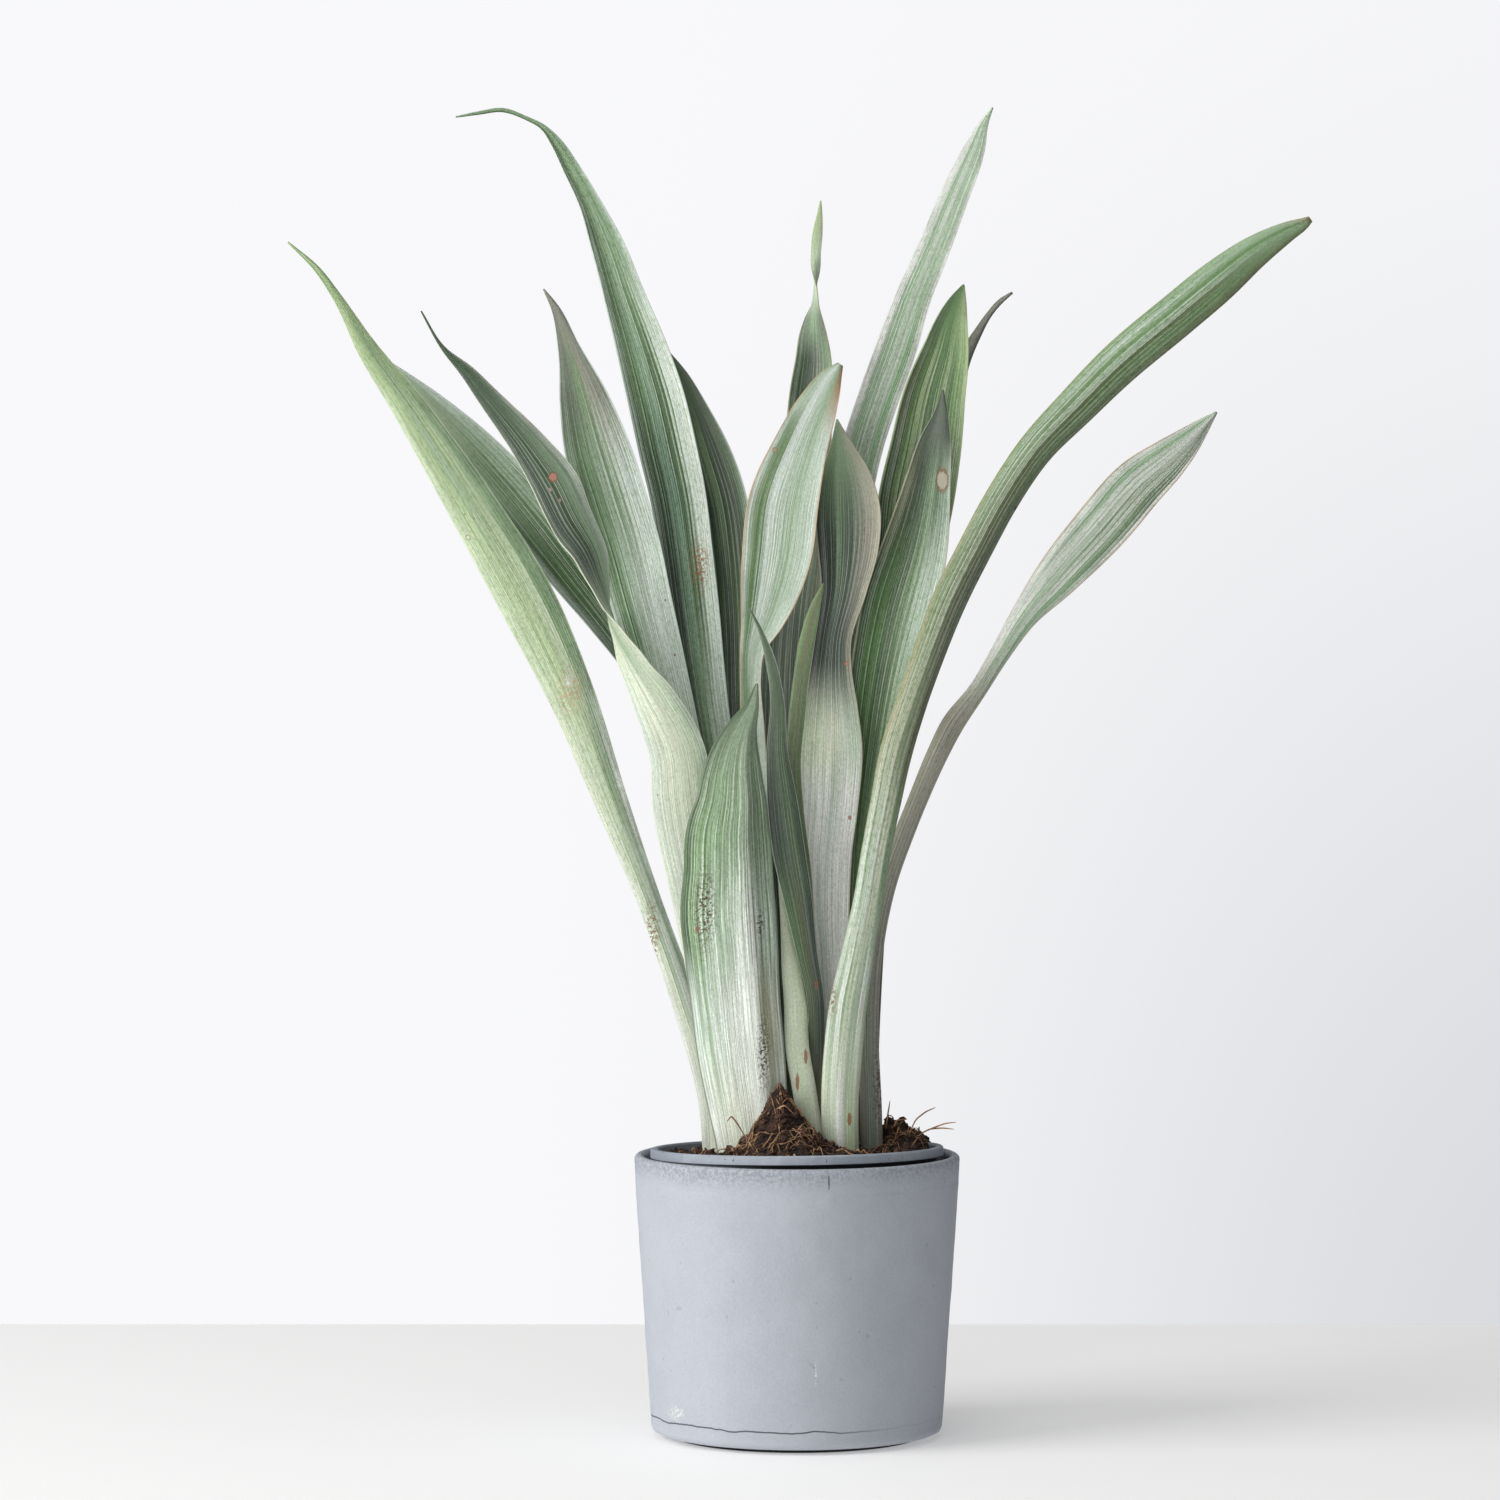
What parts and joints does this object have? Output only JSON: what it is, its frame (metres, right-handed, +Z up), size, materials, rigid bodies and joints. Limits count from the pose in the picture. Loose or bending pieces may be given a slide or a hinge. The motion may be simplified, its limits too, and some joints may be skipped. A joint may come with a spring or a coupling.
{
  "type": "potted snake plant",
  "caption": "Upright snake plant with long sword-shaped leaves growing in a plastic nursery pot that stands inside a round tapered concrete outer pot.",
  "frame": {"origin": "centre of the underside of the foot pad, on the surface that the pot stands on", "axes": "+Z up along the pot's axis, -Y towards the front of the plant, +X to the right as seen from the front"},
  "size_m": [0.4851, 0.155, 0.6342],
  "materials": {
    "concrete": "matt cast concrete with fine pits",
    "foot_rubber": "matt",
    "nursery_plastic": "satin moulded plastic",
    "soil": "crumbly potting soil with bark and root fibres",
    "leaf": "waxy, striped and mottled green with pale margins"
  },
  "bodies": {
    "root": {"cachepot": "concrete", "foot_pad": "foot_rubber", "nursery_pot": "nursery_plastic", "soil": "soil", "leaf_far_left": "leaf", "leaf_left_back": "leaf", "leaf_left_twisted": "leaf", "leaf_tall_arched": "leaf", "leaf_left_inner": "leaf", "leaf_centre_dark": "leaf", "leaf_centre_broad": "leaf", "leaf_centre_spire": "leaf", "leaf_right_inner": "leaf", "leaf_tall_right": "leaf", "leaf_right_broad": "leaf", "leaf_thin_tip": "leaf", "leaf_right_front": "leaf", "leaf_right_arching": "leaf", "leaf_right_lower": "leaf", "leaf_front_folded": "leaf", "leaf_young_olive": "leaf", "leaf_sheath": "leaf", "leaf_young_narrow": "leaf"}
  },
  "joints": []
}
